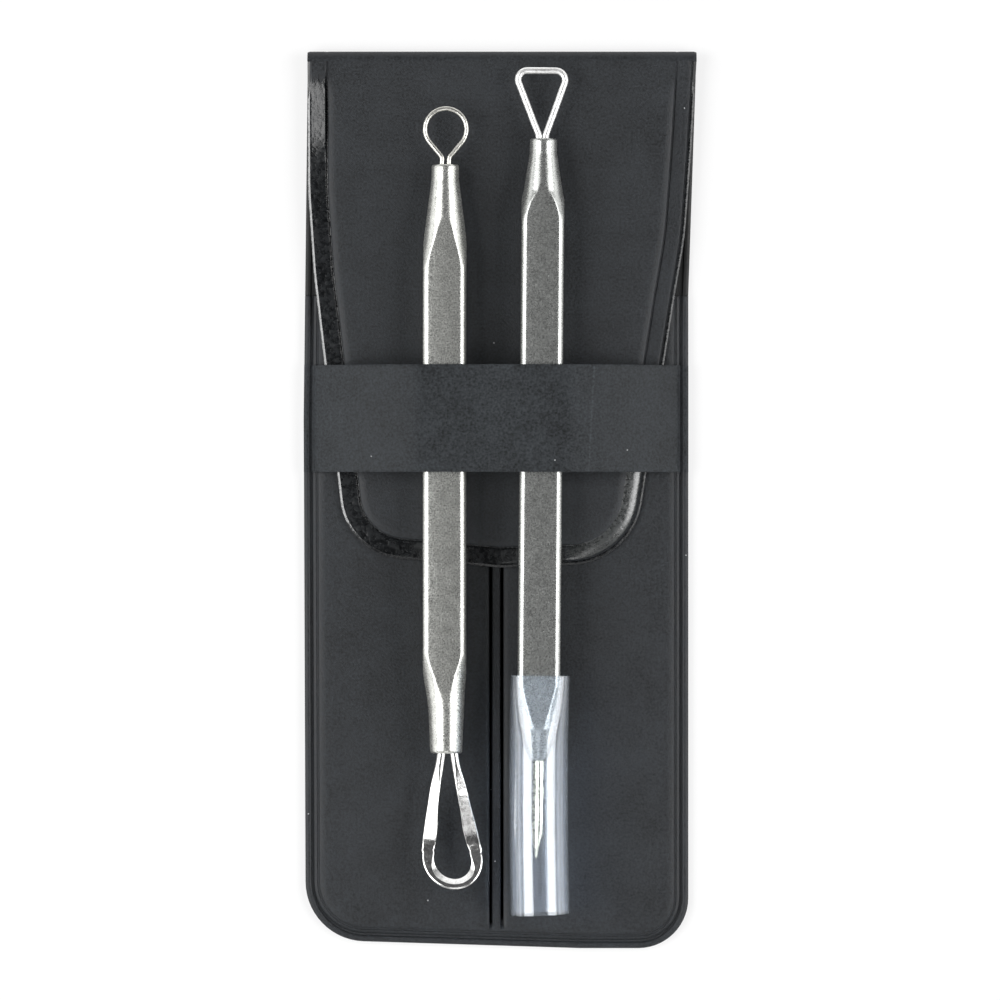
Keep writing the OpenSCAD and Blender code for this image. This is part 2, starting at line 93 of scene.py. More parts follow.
def distanceTo(line, spots):
    # the shortest distance from each spot to the line
    best = np.full(len(spots), 1e9)
    for p, q in zip(line, line[1:]):
        along = q - p
        share = np.clip(((spots - p) @ along) / (along @ along), 0, 1)
        best = np.minimum(best, np.linalg.norm(spots - p - share[:, None] * along, axis=1))
    return best


def splitSheet(border, lines, spacing, clear=0.45):
    # triangles inside the closed border, with the lines as edges and a hex grid of points between them
    low, high = border.min(0), border.max(0)
    rows = np.arange(low[1] + spacing / 2, high[1], spacing * 0.87)
    columns = np.arange(low[0], high[0], spacing)
    grid = np.array([(x + (k % 2) * spacing / 2, y) for k, y in enumerate(rows) for x in columns])
    near = distanceTo(np.vstack([border, border[:1]]), grid)
    for line in lines:
        near = np.minimum(near, distanceTo(line, grid))
    grid = grid[near > clear * spacing]
    points = [Vector(p) for p in border]
    edges = [(k, (k + 1) % len(border)) for k in range(len(border))]
    for line in lines:
        first = len(points)
        points += [Vector(p) for p in line]
        edges += [(first + k, first + k + 1) for k in range(len(line) - 1)]
    points += [Vector(p) for p in grid]
    found = delaunay_2d_cdt(points, edges, [], 1, 1e-5)
    return np.array([tuple(v) for v in found[0]]), [tuple(f) for f in found[2]]


def smoothMesh(name, verts, faces, angle=35):
    mesh = bpy.data.meshes.new(name)
    mesh.from_pydata([tuple(np.array(v) * mm) for v in verts], [], faces)
    mesh.validate()
    mesh.polygons.foreach_set("use_smooth", [True] * len(mesh.polygons))
    mesh.set_sharp_from_angle(angle=math.radians(angle))
    piece = bpy.data.objects.new(name, mesh)
    bpy.context.scene.collection.objects.link(piece)
    return piece


def tubeFaces(rows, count, closed=False):
    # quads between rows of count points; closed joins the last row to the first, or both ends get a cap
    faces = []
    for j in range(rows if closed else rows - 1):
        for i in range(count):
            k, far = (i + 1) % count, (j + 1) % rows * count
            faces.append((j * count + i, j * count + k, far + k, far + i))
    last = (rows - 1) * count
    caps = [tuple(reversed(range(count))), tuple(last + i for i in range(count))]
    return faces if closed else faces + caps


def flipped(faces):
    return [face[::-1] for face in faces]


def slabFaces(rows, count):
    # a closed slab: the points of its upper side in rows of count, then those of its lower side
    faces = []
    under = rows * count
    for j in range(rows - 1):
        for i in range(count - 1):
            a, b = j * count + i, (j + 1) * count + i
            faces.append((a, a + 1, b + 1, b))
            faces.append((under + a, under + b, under + b + 1, under + a + 1))
    for j in (0, rows - 1):
        for i in range(count - 1):
            a = j * count + i
            quad = (a, under + a, under + a + 1, a + 1)
            faces.append(quad if j == 0 else quad[::-1])
    for j in range(rows - 1):
        for i in (0, count - 1):
            a, b = j * count + i, (j + 1) * count + i
            faces.append((a, b, under + b, under + a) if i == 0 else (a, under + a, under + b, b))
    return faces


def sheetPiece(name, flat, triangles, top, bottom, marksOf=None):
    # a closed sheet over the flat triangles, from height bottom to height top
    # marksOf gives the material slot of each triangle; the walls have slot 1
    n = len(flat)
    verts = np.vstack([np.column_stack([flat, top]), np.column_stack([flat, bottom])])
    used = {}
    for tri in triangles:
        for a, b in zip(tri, tri[1:] + tri[:1]):
            used[(a, b)] = True
    walls = [(a, n + a, n + b, b) for a, b in used if (b, a) not in used]
    faces = [tuple(t) for t in triangles] + [tuple(n + v for v in reversed(t)) for t in triangles] + walls
    piece = smoothMesh(name, verts, faces)
    if marksOf:
        middle = np.array([flat[list(t)].mean(0) for t in triangles])
        marks = list(marksOf(middle)) * 2 + [1] * len(walls)
        piece.data.polygons.foreach_set("material_index", [int(m) for m in marks])
    return piece


def profile(table, d):
    # smooth height over distance d, through a table of (distance, height)
    x, z = np.array(table).T
    k = np.clip(np.searchsorted(x, d) - 1, 0, len(x) - 2)
    t = np.clip((d - x[k]) / (x[k + 1] - x[k]), 0, 1)
    t = t * t * (3 - 2 * t)
    return z[k] + (z[k + 1] - z[k]) * t


def smoothStep(low, high, value):
    t = np.clip((value - low) / (high - low), 0, 1)
    return t * t * (3 - 2 * t)


# shader groups

def nodeGroup(name, inputs, outputs):
    # a tuple gives a colour socket, a number a plain one
    group = bpy.data.node_groups.new(name, "ShaderNodeTree")
    for label, value in inputs.items():
        kind = "NodeSocketColor" if isinstance(value, tuple) else "NodeSocketFloat"
        group.interface.new_socket(label, in_out="INPUT", socket_type=kind).default_value = value
    for label in outputs:
        kind = "NodeSocketColor" if label == "Color" else "NodeSocketFloat"
        group.interface.new_socket(label, in_out="OUTPUT", socket_type=kind)
    return group, group.nodes.new("NodeGroupInput").outputs, group.nodes.new("NodeGroupOutput").inputs


def closeGroup(group, end, results):
    for label, source in results.items():
        group.links.new(source, end[label])
    return group


def addNode(tree, kind, links=(), **settings):
    node = tree.nodes.new(kind)
    for key, value in settings.items():
        setattr(node, key, value)
    for socket, source in dict(links).items():
        if isinstance(source, bpy.types.NodeSocket):
            tree.links.new(source, node.inputs[socket])
        else:
            node.inputs[socket].default_value = source
    return node


def objectPlace(tree):
    return addNode(tree, "ShaderNodeTexCoord").outputs["Object"]


def mathNode(tree, operation, *values):
    return addNode(tree, "ShaderNodeMath", enumerate(values), operation=operation).outputs[0]


def remap(tree, value, fromLow, fromHigh, toLow=0.0, toHigh=1.0):
    sockets = enumerate((value, fromLow, fromHigh, toLow, toHigh))
    return addNode(tree, "ShaderNodeMapRange", sockets).outputs[0]


def noise(tree, place, scale, detail, roughness=0.5):
    sockets = {"Vector": place, "Scale": scale, "Detail": detail, "Roughness": roughness}
    return addNode(tree, "ShaderNodeTexNoise", sockets).outputs["Fac"]


def scaled(tree, color, factor):
    return addNode(tree, "ShaderNodeVectorMath", {0: color, "Scale": factor}, operation="SCALE").outputs[0]


def mixColor(tree, share, first, second):
    # sockets 6 and 7 are the mix node's two colours, and output 2 is its colour
    return addNode(tree, "ShaderNodeMix", {0: share, 6: first, 7: second}, data_type="RGBA").outputs[2]


noiseLow, noiseHigh = 0.3, 0.7  # most of a noise lies between these


def makeVinylGrain():
    # fine embossed grain with slow mottling, and sparse specks of lint
    look = {
        "slowScale": 160.0, "slowRange": 0.8, "fineRange": 2.0, "roughRange": 0.05, "lintScale": 105.0,
        "lintFrom": 0.84, "lintRadius": (0.006, 0.014), "lintColor": (0.42, 0.43, 0.44, 1),
    }
    group, start, end = nodeGroup(
        "vinylGrain",
        {"Grain Size": 0.35, "Mottle": 0.2, "Base": (0.02, 0.02, 0.02, 1), "Lint": 1.0, "Rough": 0.5},
        ["Color", "Roughness", "Height"])
    place = objectPlace(group)
    grain = noise(group, place, mathNode(group, "DIVIDE", 1 / mm, start["Grain Size"]), 3.0, 0.6)
    slow = noise(group, place, look["slowScale"], 4.0, 0.65)
    spread = remap(group, slow, noiseLow, noiseHigh, -look["slowRange"], look["slowRange"])
    fine = remap(group, grain, noiseLow, noiseHigh, -look["fineRange"], look["fineRange"])
    both = mathNode(group, "ADD", spread, fine)
    tint = scaled(group, start["Base"], mathNode(group, "MULTIPLY_ADD", both, start["Mottle"], 1.0))
    cells = addNode(group, "ShaderNodeTexVoronoi", {"Vector": place, "Scale": look["lintScale"]},
                    voronoi_dimensions="2D").outputs
    chosen = addNode(group, "ShaderNodeSeparateColor", {"Color": cells["Color"]}).outputs[0]
    few = mathNode(group, "GREATER_THAN", chosen, look["lintFrom"])
    near = remap(group, cells["Distance"], *look["lintRadius"], 1.0, 0.0)
    speck = mathNode(group, "MULTIPLY", few, near)
    lint = mathNode(group, "MULTIPLY", speck, start["Lint"])
    return closeGroup(group, end, {
        "Color": mixColor(group, lint, tint, look["lintColor"]),
        "Roughness": mathNode(group, "MULTIPLY_ADD", both, look["roughRange"], start["Rough"]),
        "Height": mathNode(group, "ADD", grain, speck),
    })


def makeSteelFinish():
    # fine pits with slow clouds, and short scratches along Y
    look = {
        "cloudScale": 700.0, "clouds": (0.86, 1.14), "pitShade": 0.2, "scratchScale": 420.0,
        "scratchStretch": (9.0, 0.5, 9.0), "scratchRange": (0.62, 0.78), "scratchShine": 0.5,
    }
    group, start, end = nodeGroup(
        "steelFinish",
        {"Pit Size": 0.3, "Rough": 0.35, "Spread": 0.1, "Base": (0.6, 0.6, 0.59, 1), "Scratches": 0.3},
        ["Color", "Roughness", "Height"])
    place = objectPlace(group)
    pits = noise(group, place, mathNode(group, "DIVIDE", 1 / mm, start["Pit Size"]), 4.0, 0.7)
    drawn = addNode(group, "ShaderNodeMapping", {"Vector": place, "Scale": look["scratchStretch"]}).outputs[0]
    sharp = remap(group, noise(group, drawn, look["scratchScale"], 3.0), *look["scratchRange"])
    marks = mathNode(group, "MULTIPLY", sharp, start["Scratches"])
    spread = remap(group, pits, noiseLow, noiseHigh, -1.0, 1.0)
    slow = noise(group, place, look["cloudScale"], 3.0, 0.6)
    clouds = remap(group, slow, noiseLow, noiseHigh, *look["clouds"])
    dark = mathNode(group, "MULTIPLY_ADD", spread, look["pitShade"], clouds)
    light = mathNode(group, "MULTIPLY_ADD", marks, look["scratchShine"], dark)
    return closeGroup(group, end, {
        "Color": scaled(group, start["Base"], light),
        "Roughness": mathNode(group, "MULTIPLY_ADD", spread, start["Spread"], start["Rough"]),
        "Height": mathNode(group, "ADD", pits, marks),
    })


vinylGrain = makeVinylGrain()
steelFinish = makeSteelFinish()


# materials

# rows of values for the labels; the bump is its strength and its depth in mm
vinylLabels = ("Grain Size", "Mottle", "Base", "Lint", "Rough", "Specular IOR Level", "bump",
               "Coat Weight", "Coat Roughness")
vinyls = {
    "vinylMatte": (0.35, 0.3, (0.0138, 0.016, 0.0188, 1), 1.0, 0.56, 0.4, (0.8, 0.08)),
    # the dark weld vinyl, also laid over the left part of the flap's border as painted shade
    "vinylWeldAndShade": (0.7, 0.3, (0.006, 0.007, 0.008, 1), 0.6, 0.28, 0.55, (0.9, 0.13)),
    "vinylBand": (0.35, 0.34, (0.0215, 0.0245, 0.0275, 1), 1.0, 0.6, 0.22, (0.8, 0.08)),
    "vinylEdge": (0.6, 0.3, (0.006, 0.007, 0.008, 1), 0.0, 0.2, 1.0, (0.7, 0.1), 1.0, 0.12),
    "vinylShine": (0.5, 0.3, (0.012, 0.0145, 0.0145, 1), 0.0, 0.27, 1.0, (0.8, 0.08), 0.9, 0.26),
    "vinylInside": (0.4, 0.12, (0.0115, 0.0125, 0.0125, 1), 0.8, 0.6, 0.4, (0.25, 0.05)),
}
steelLabels = ("Pit Size", "Rough", "Spread", "Base", "Scratches", "Metallic", "bump")
steels = {
    "satinSteel": (0.24, 0.29, 0.09, (0.58, 0.585, 0.555, 1), 0.7, 0.86, (0.26, 0.02)),
    "satinSteelDark": (0.22, 0.28, 0.08, (0.47, 0.48, 0.465, 1), 0.5, 0.88, (0.24, 0.02)),
    "brightSteel": (0.5, 0.23, 0.05, (0.74, 0.74, 0.73, 1), 0.15, 1.0, (0.06, 0.02)),
    "wireSteel": (0.5, 0.3, 0.05, (0.72, 0.71, 0.66, 1), 0.2, 0.94, (0.05, 0.02)),
    # the triangle's steel has its base raised above the other bright steel: a painted highlight that makes
    # the loop look whiter
    "triangleSteelPaintedBright": (0.5, 0.4, 0.04, (0.9, 0.9, 0.89, 1), 0.1, 0.88, (0.1, 0.02)),
    "lancetSteel": (0.4, 0.27, 0.06, (0.66, 0.65, 0.52, 1), 0.3, 1.0, (0.15, 0.02)),
}
# a thin pale line down the band, along x = at + slope * y
creaseLine = {"at": 12.96, "slope": 0.056, "width": 0.22, "gain": 1.6}
clearLook = {
    "stretch": (6.0, 0.35, 6.0), "scale": 300.0, "bump": (0.4, 0.07), "shadow": (0.86, 0.9, 0.95, 1),
    "colors": ((0.84, 0.895, 0.965, 1), (0.92, 0.95, 0.99, 1)),
    "shader": {"Roughness": 0.06, "IOR": 1.39, "Transmission Weight": 0.96, "Coat Weight": 1.0,
               "Coat IOR": 1.48, "Coat Roughness": 0.05, "Specular Tint": (0.95, 0.975, 1, 1)},
}


def newMaterial(name, values=()):
    material = bpy.data.materials.new(name)
    material.use_nodes = True
    shader = material.node_tree.nodes["Principled BSDF"]
    for label, value in dict(values).items():
        shader.inputs[label].default_value = value
    return material, material.node_tree, shader


def useSurface(tree, surface):
    tree.links.new(surface, tree.nodes["Material Output"].inputs["Surface"])


def addBump(tree, shader, bump, height):
    strength, depth = bump
    relief = addNode(tree, "ShaderNodeBump", {"Strength": strength, "Distance": depth * mm, "Height": height})
    tree.links.new(relief.outputs[0], shader.inputs["Normal"])


def creased(tree, color):
    place = addNode(tree, "ShaderNodeSeparateXYZ", {0: objectPlace(tree)}).outputs
    line = mathNode(tree, "MULTIPLY_ADD", place["Y"], creaseLine["slope"], creaseLine["at"] * mm)
    away = mathNode(tree, "ABSOLUTE", mathNode(tree, "SUBTRACT", place["X"], line))
    return scaled(tree, color, remap(tree, away, 0.0, creaseLine["width"] * mm, creaseLine["gain"], 1.0))


def groupMaterial(name, group, labels, row):
    # a Principled material that takes colour, roughness and bump height from its group
    material, tree, shader = newMaterial(name)
    effect = addNode(tree, "ShaderNodeGroup", node_tree=group)
    look = dict(zip(labels, row))
    addBump(tree, shader, look.pop("bump"), effect.outputs["Height"])
    for label, value in look.items():
        (effect if label in effect.inputs else shader).inputs[label].default_value = value
    color = effect.outputs["Color"]
    if name == "vinylBand":
        color = creased(tree, color)
    tree.links.new(color, shader.inputs["Base Color"])
    tree.links.new(effect.outputs["Roughness"], shader.inputs["Roughness"])
    return material


def makeClearSleeve():
    # clear, faintly milky plastic; lamps shine through it
    material, tree, shader = newMaterial("clearSleeve", clearLook["shader"])
    drawn = addNode(tree, "ShaderNodeMapping", {"Vector": objectPlace(tree), "Scale": clearLook["stretch"]})
    lines = noise(tree, drawn.outputs[0], clearLook["scale"], 3.0)
    tree.links.new(mixColor(tree, lines, *clearLook["colors"]), shader.inputs["Base Color"])
    addBump(tree, shader, clearLook["bump"], lines)
    shadow = addNode(tree, "ShaderNodeLightPath").outputs["Is Shadow Ray"]
    clear = addNode(tree, "ShaderNodeBsdfTransparent", {"Color": clearLook["shadow"]})
    mix = addNode(tree, "ShaderNodeMixShader", {0: shadow, 1: shader.outputs[0], 2: clear.outputs[0]})
    useSurface(tree, mix.outputs[0])
    return material


materials = {name: groupMaterial(name, vinylGrain, vinylLabels, row) for name, row in vinyls.items()}
materials |= {name: groupMaterial(name, steelFinish, steelLabels, row) for name, row in steels.items()}
materials["clearSleeve"] = makeClearSleeve()
print("materials ready")

# pouch

pouch = {
    "width": 59.0, "length": 134.7, "rightStep": 1.2, "leftStep": 0.6, "bottomRise": 1.3,
    "cornerLeft": 9.0, "cornerRight": 7.5, "bottomFlat": 12.0, "frontLength": 98.0,
    "foldRadius": 1.575, "sheet": 0.4, "bandMiddle": 12.225,
    "seamX": -0.55, "seamFoot": 2.5,
}
foldY = pouch["length"] / 2 - pouch["foldRadius"]
leftX = -pouch["width"] / 2
rightX = pouch["width"] / 2 - pouch["rightStep"]
foldLeft = leftX + pouch["leftStep"]
foldRight = pouch["width"] / 2
bottomY = -pouch["length"] / 2
mouthY = bottomY + pouch["frontLength"]

pouchEdge = roundedLine(
    [(foldLeft, foldY), (leftX, pouch["bandMiddle"]), (leftX + 0.3, bottomY + pouch["bottomRise"]),
     (pouch["bottomFlat"], bottomY), (rightX, bottomY), (rightX, mouthY), (foldRight, foldY)],
    [0, pouch["cornerLeft"], 0, pouch["cornerRight"], 0])


def cutAt(line, top):
    # the part of a U-shaped line below y = top, with its ends exactly at top
    below = np.flatnonzero(line[:, 1] < top - 0.02)
    first, last = below[0], below[-1]
    ends = []
    for inside, outside in ((first, first - 1), (last, last + 1)):
        p, q = line[inside], line[outside]
        ends.append(p + (q - p) * (top - p[1]) / (q[1] - p[1]))
    return np.vstack([ends[:1], line[first:last + 1], ends[1:]])


def topEdge(lines, step=1.2):
    # points along the straight top, from the right end of the outermost line to its left end
    y = lines[0][0][1]
    stops = sorted({round(float(line[k][0]), 5) for line in lines for k in (0, -1)}, reverse=True)
    points = []
    for a, b in zip(stops, stops[1:]):
        pieces = max(1, math.ceil((a - b) / step))
        points += [(a + (b - a) * k / pieces, y) for k in range(pieces)]
    return np.array(points[1:])


def cutSheet(edge, distances, spacing, top=None):
    # the shape inside the edge, up to y = top, with lines at these distances from the edge
    lines = [insetLine(edge, d) for d in distances]
    if top is not None:
        lines = [cutAt(line, top) for line in lines]
    flat, tris = splitSheet(np.vstack([lines[0], topEdge(lines)]), lines[1:], spacing)
    return flat, tris, distanceTo(edge, flat)


def buildBackSheet():
    impression = [(0, 0.1), (0.25, 0.0), (0.8, 0.0), (1.0, 0.1), (1.3, 0.1), (1.5, 0.0), (60, 0.0)]
    flat, tris, d = cutSheet(pouchEdge, [d for d, _ in impression[:-1]], 2.6, foldY - 0.01)
    return sheetPiece("backSheet", flat, tris, np.full(len(flat), pouch["sheet"]), profile(impression, d))


def buildLining():
    # above the pockets it reaches the edge and is welded; inside them it lies loose
    look = {
        "inside": 2.8, "low": 0.41, "flat": 0.95, "belowFold": 2.0, "aboveMouth": 0.1,
        "weld": [(0, 0.74), (0.22, 0.93), (0.5, 0.97), (0.8, 0.92), (0.95, 0.66), (1.25, 0.66), (1.38, 0.86),
                 (2.1, 0.88), (2.5, 0.95), (60, 0.95)],
    }
    endY = foldY - look["belowFold"]
    footY = mouthY + look["aboveMouth"]
    upper = [insetLine(pouchEdge, d) for d, _ in look["weld"][:-1]]
    inner = cutAt(insetLine(pouchEdge, look["inside"]), footY)

    def sides(line):
        cut = cutAt(line, endY)
        left = cut[(cut[:, 0] < 0) & (cut[:, 1] > footY + 0.02)]
        right = cut[(cut[:, 0] > 0) & (cut[:, 1] > footY + 0.02)]
        foot = cutAt(line, footY)
        return np.vstack([left, foot[:1]]), np.vstack([foot[-1:], right])

    pairs = [sides(line) for line in upper]
    left, right = pairs[0]
    leftFoot = [pair[0][-1] for pair in pairs[1:]]
    rightFoot = [pair[1][0] for pair in reversed(pairs[1:])]
    stops = sorted({round(float(p[0]), 5) for pair in pairs for p in (pair[0][0], pair[1][-1])}, reverse=True)
    top = [(x, endY) for x in stops[1:-1]]
    border = np.vstack([left, leftFoot, inner, rightFoot, right, top])
    lines = [line for pair in pairs[1:] for line in pair]
    flat, tris = splitSheet(border, lines, 2.6)
    d = distanceTo(pouchEdge, flat)
    height = np.where(flat[:, 1] > mouthY, profile(look["weld"], d), look["flat"])
    return sheetPiece("lining", flat, tris, height, np.full(len(flat), look["low"]))


def buildFrontSheet():
    look = {
        "weld": [(0, 0.98), (0.12, 1.08), (0.3, 1.19), (0.5, 1.25), (0.72, 1.22), (0.86, 1.12), (0.94, 0.8),
                 (1.26, 0.78), (1.36, 1.04), (1.55, 1.14), (1.76, 1.2), (1.84, 1.12), (2.1, 1.16),
                 (2.18, 1.4), (2.5, 1.54), (3.3, 1.62), (9, 1.7), (60, 1.72)],
        "seam": [(0, 1.5), (0.5, 1.48), (0.6, 1.36), (0.68, 0.95), (1.02, 0.95), (1.1, 1.4), (1.3, 1.56),
                 (1.8, 1.64), (8, 1.72), (60, 1.72)],
        "under": 1.25, "rim": 0.41, "rimWide": 2.6, "thick": 0.12,
    }
    lines = [cutAt(insetLine(pouchEdge, d), mouthY) for d, _ in look["weld"][:-2]]
    seamFoot = bottomY + pouch["seamFoot"]
    seam = []
    for u, _ in look["seam"][:-2]:
        for side in ((-1, 1) if u else (1,)):
            x = pouch["seamX"] + side * u
            seam.append(np.array([(x, y) for y in np.linspace(seamFoot + 0.4, mouthY, 70)]))
    top = topEdge(lines)
    across = np.array([line[-1, 0] for line in seam])
    top = top[[np.abs(across - x).min() > 0.05 for x in top[:, 0]]]
    stops = np.column_stack([across, np.full(len(across), mouthY)])
    top = np.array(sorted(np.vstack([top, stops]).tolist(), key=lambda p: -p[0]))
    border = np.vstack([lines[0], top])
    seam = [line[:-1] for line in seam]
    flat, tris = splitSheet(border, lines[1:] + seam, 1.8)
    d = distanceTo(pouchEdge, flat)
    u = np.abs(flat[:, 0] - pouch["seamX"])
    paintedShadeSide = profile(look["weld"], d)
    fade = smoothStep(0, 1.2, flat[:, 1] - seamFoot)
    seamed = profile(look["seam"], u)
    seamed = seamed + (look["seam"][-1][1] - seamed) * (1 - fade)
    height = np.minimum(paintedShadeSide, seamed)
    bottom = np.where(d > look["rimWide"], np.minimum(look["under"], height - look["thick"]), look["rim"])
    return sheetPiece("frontSheet", flat, tris, height, bottom)


# flap

flap = {
    "length": 77.5, "left": 23.0, "right": 19.9, "cornerLeft": 9.8, "cornerRight": 11.0, "tipRiseLeft": 2.1,
    "tipRiseRight": 0.75, "soft": 60, "sheetLow": 2.11, "liningTop": 2.1, "top": 3.15,
    # lists of (distance from the edge, height): a bead and the welded border, then the padded middle
    "padded": [(3.12, 2.84), (3.35, 3.0), (4.2, 3.09), (8, 3.13), (60, 3.15)],
    "onLeft": [(0, 2.3), (0.05, 2.33), (0.24, 2.45), (0.32, 2.48), (2.6, 2.46), (2.78, 2.42), (2.88, 2.32),
               (3.0, 2.34)],
    "onRight": [(0, 2.3), (0.05, 2.33), (0.24, 2.44), (0.44, 2.44), (0.52, 2.26), (0.68, 2.26), (0.78, 2.44),
                (2.6, 2.5), (2.78, 2.48), (2.88, 2.38), (3.0, 2.4)],
    # at the lower right the border leans as a shining strip inside a darker bead
    "shining": [(0, 2.12), (0.05, 2.22), (0.24, 2.34), (0.44, 2.36), (0.52, 2.28), (0.6, 2.1), (0.76, 2.1),
                (0.84, 2.22), (1.25, 2.43), (1.6, 2.57), (2.0, 2.66), (2.6, 2.75), (3.0, 2.8)],
    "lines": (0, 0.05, 0.24, 0.32, 0.44, 0.52, 0.6, 0.68, 0.76, 0.84, 1.25, 1.6, 2.0, 2.6, 2.78, 2.88, 3.0,
              3.12, 3.35, 4.2, 5.5),
    "lining": [(0, 1.95), (0.3, 1.86), (1.9, 1.86), (2.2, 1.92), (2.6, 1.92), (2.9, 1.86), (60, 1.86)],
    "lean": 0.62, "rise": 0.62,
}
tipY = pouch["length"] / 2 - flap["length"]
flapEdge = roundedLine(
    [(foldLeft, foldY), (foldLeft + 0.08, 46.5), (foldLeft + 0.95, 34),
     (-flap["left"], tipY + flap["tipRiseLeft"]), (0, tipY), (flap["right"], tipY + flap["tipRiseRight"]),
     (26.2, 30.5), (27.75, 39.5), (28.75, 53), (foldRight, foldY)],
    [flap["soft"], flap["soft"], flap["cornerLeft"], 0, flap["cornerRight"], flap["soft"], flap["soft"], 0])


def lowerRight(flat):
    # 1 where the border shines, 0 elsewhere
    x, y = flat[:, 0], flat[:, 1]
    return smoothStep(9.5, 15, x) * (1 - smoothStep(9, 20, y))


def flapHeight(flat, d):
    left, right, shining = [np.interp(d, *np.array(flap[side] + flap["padded"]).T)
                            for side in ("onLeft", "onRight", "shining")]
    x, y = flat[:, 0], flat[:, 1]
    toRight, low = smoothStep(-2, 6, x), lowerRight(flat)
    height = (left * (1 - toRight) + right * toRight) * (1 - low) + shining * low
    inBorder = smoothStep(0.4, 0.8, d) * (1 - smoothStep(2.6, 2.84, d))
    share = np.clip((d - 0.5) / 2.2, 0, 1)
    # where the border leans outwards, it catches the lamp on its side
    leans = smoothStep(50, 56, y) * (1 - smoothStep(61.5, 64.5, y)) * (x < 0)
    height += inBorder * share * flap["lean"] * leans
    # near the fold the border comes up to the height of the fold
    rise = smoothStep(foldY - 6, foldY, y)
    height += rise * (1 - smoothStep(2.9, 4.5, d)) * smoothStep(0, 0.6, d) * flap["rise"]
    return np.minimum(height, flap["top"])


def flapMarks(middle):
    # 0 is matte, 1 the dark weld vinyl, which on the border left of x = 10 is painted shade, 2 the polished
    # edge, 3 the shining strip
    away, shines = distanceTo(flapEdge, middle), lowerRight(middle) > 0.05
    paintedShadeSide, high = middle[:, 0] < 10, middle[:, 1] > 62.8
    # left of x = 10 the border up to 2.98 mm from the edge gets the dark weld vinyl as painted shade; to the
    # right only the bead does
    mark = np.where(paintedShadeSide & ~high & (away < 2.98), 1, 0)
    mark = np.where(~paintedShadeSide & (away < 0.5), 1, mark)
    mark = np.where(paintedShadeSide & (middle[:, 1] > -7) & (away < 0.3), 2, mark)
    return np.where(shines & (away > 0.8) & (away < 3.0), 3, mark)


def buildFlap():
    flat, tris, d = cutSheet(flapEdge, flap["lines"], 1.8)
    low = np.full(len(flat), flap["sheetLow"])
    return sheetPiece("flapSheet", flat, tris, flapHeight(flat, d), low, flapMarks)


def buildFlapLining():
    flat, tris, d = cutSheet(flapEdge, [d for d, _ in flap["lining"][:-1]], 3.0, foldY - 1.0)
    top = np.full(len(flat), flap["liningTop"])
    return sheetPiece("flapLining", flat, tris, top, profile(flap["lining"], d))


def buildFold():
    # half a ring of sheet between back and flap, cut from the same vinyl
    look = {"rings": 28, "columns": 80, "rim": 0.12, "groove": 0.05, "grooveAt": 2.9, "grooveWide": 0.18,
            "edges": (0, 0.15, 0.4, 2.5, 2.75, 2.95, 3.2, 3.6), "margin": 4}
    radius, inner = pouch["foldRadius"], pouch["foldRadius"] - pouch["sheet"]
    between = np.linspace(foldLeft + look["margin"], foldRight - look["margin"], look["columns"])
    xs = sorted({foldLeft + e for e in look["edges"]} | {foldRight - e for e in look["edges"]} | set(between))
    outside, inside = [], []
    for k in range(look["rings"] + 1):
        angle = math.pi * k / look["rings"]
        y, z = math.sin(angle), -math.cos(angle)
        for x in xs:
            e = min(x - foldLeft, foldRight - x)
            dent = look["rim"] * (1 - smoothStep(0, 0.35, e))
            dent += look["groove"] * math.exp(-((e - look["grooveAt"]) / look["grooveWide"]) ** 2)
            dent *= y ** 0.5 if 0 < k < look["rings"] else 0
            outside.append((x, foldY + y * (radius - dent), radius + z * (radius - dent)))
            inside.append((x, foldY + y * inner, radius + z * inner))
    return smoothMesh("foldSheet", outside + inside, slabFaces(look["rings"] + 1, len(xs)), 50)


# band

band = {
    "low": 4.2, "wide": 16.05, "under": 9.15, "thick": 0.5, "foot": 1.5, "topLeft": -12.1, "topRight": 9.9,
    "rimTop": 1.25, "weldLow": 1.26, "steps": 22, "rows": 26, "bunched": 1.6, "bulge": 0.55,
    "sag": 0.16, "sagAt": -1.1, "sagWide": 3.2, "edgeRound": 0.1,
    "crease": 0.05, "creaseAt": 13.2, "creaseLean": 0.9, "creaseWide": 0.16,
    "weld": [(0, 1.5), (0.12, 1.6), (0.3, 1.71), (0.5, 1.75), (0.72, 1.72), (0.86, 1.62), (0.92, 1.36),
             (1.2, 1.36), (1.28, 1.6)],
}


def bandRise(u):
    return band["rimTop"] + (band["under"] - band["rimTop"]) * u * (1 + band["bulge"] * (1 - u))


def edgeX(y, left):
    line = pouchEdge[pouchEdge[:, 0] < 0] if left else pouchEdge[pouchEdge[:, 0] > 0]
    line = line[np.argsort(line[:, 1])]
    line = line[line[:, 1] > bottomY + 12]
    return float(np.interp(y, line[:, 1], line[:, 0]))


def bandPath(left, right):
    # the band's lower side from foot to foot: up, over both tools, and down
    shares = [(i / band["steps"]) ** band["bunched"] for i in range(band["steps"] + 1)]
    footLeft, footRight = left + band["foot"], right - band["foot"]
    path = [(footLeft + (band["topLeft"] - footLeft) * u, bandRise(u)) for u in shares]
    for x in np.linspace(band["topLeft"], band["topRight"], 34)[1:-1]:
        # it hangs a little between the tools
        sag = band["sag"] * math.exp(-((x - band["sagAt"]) / band["sagWide"]) ** 2)
        path.append((x, band["under"] - sag))
    path += [(footRight + (band["topRight"] - footRight) * u, bandRise(u)) for u in reversed(shares)]
    return np.array(path)


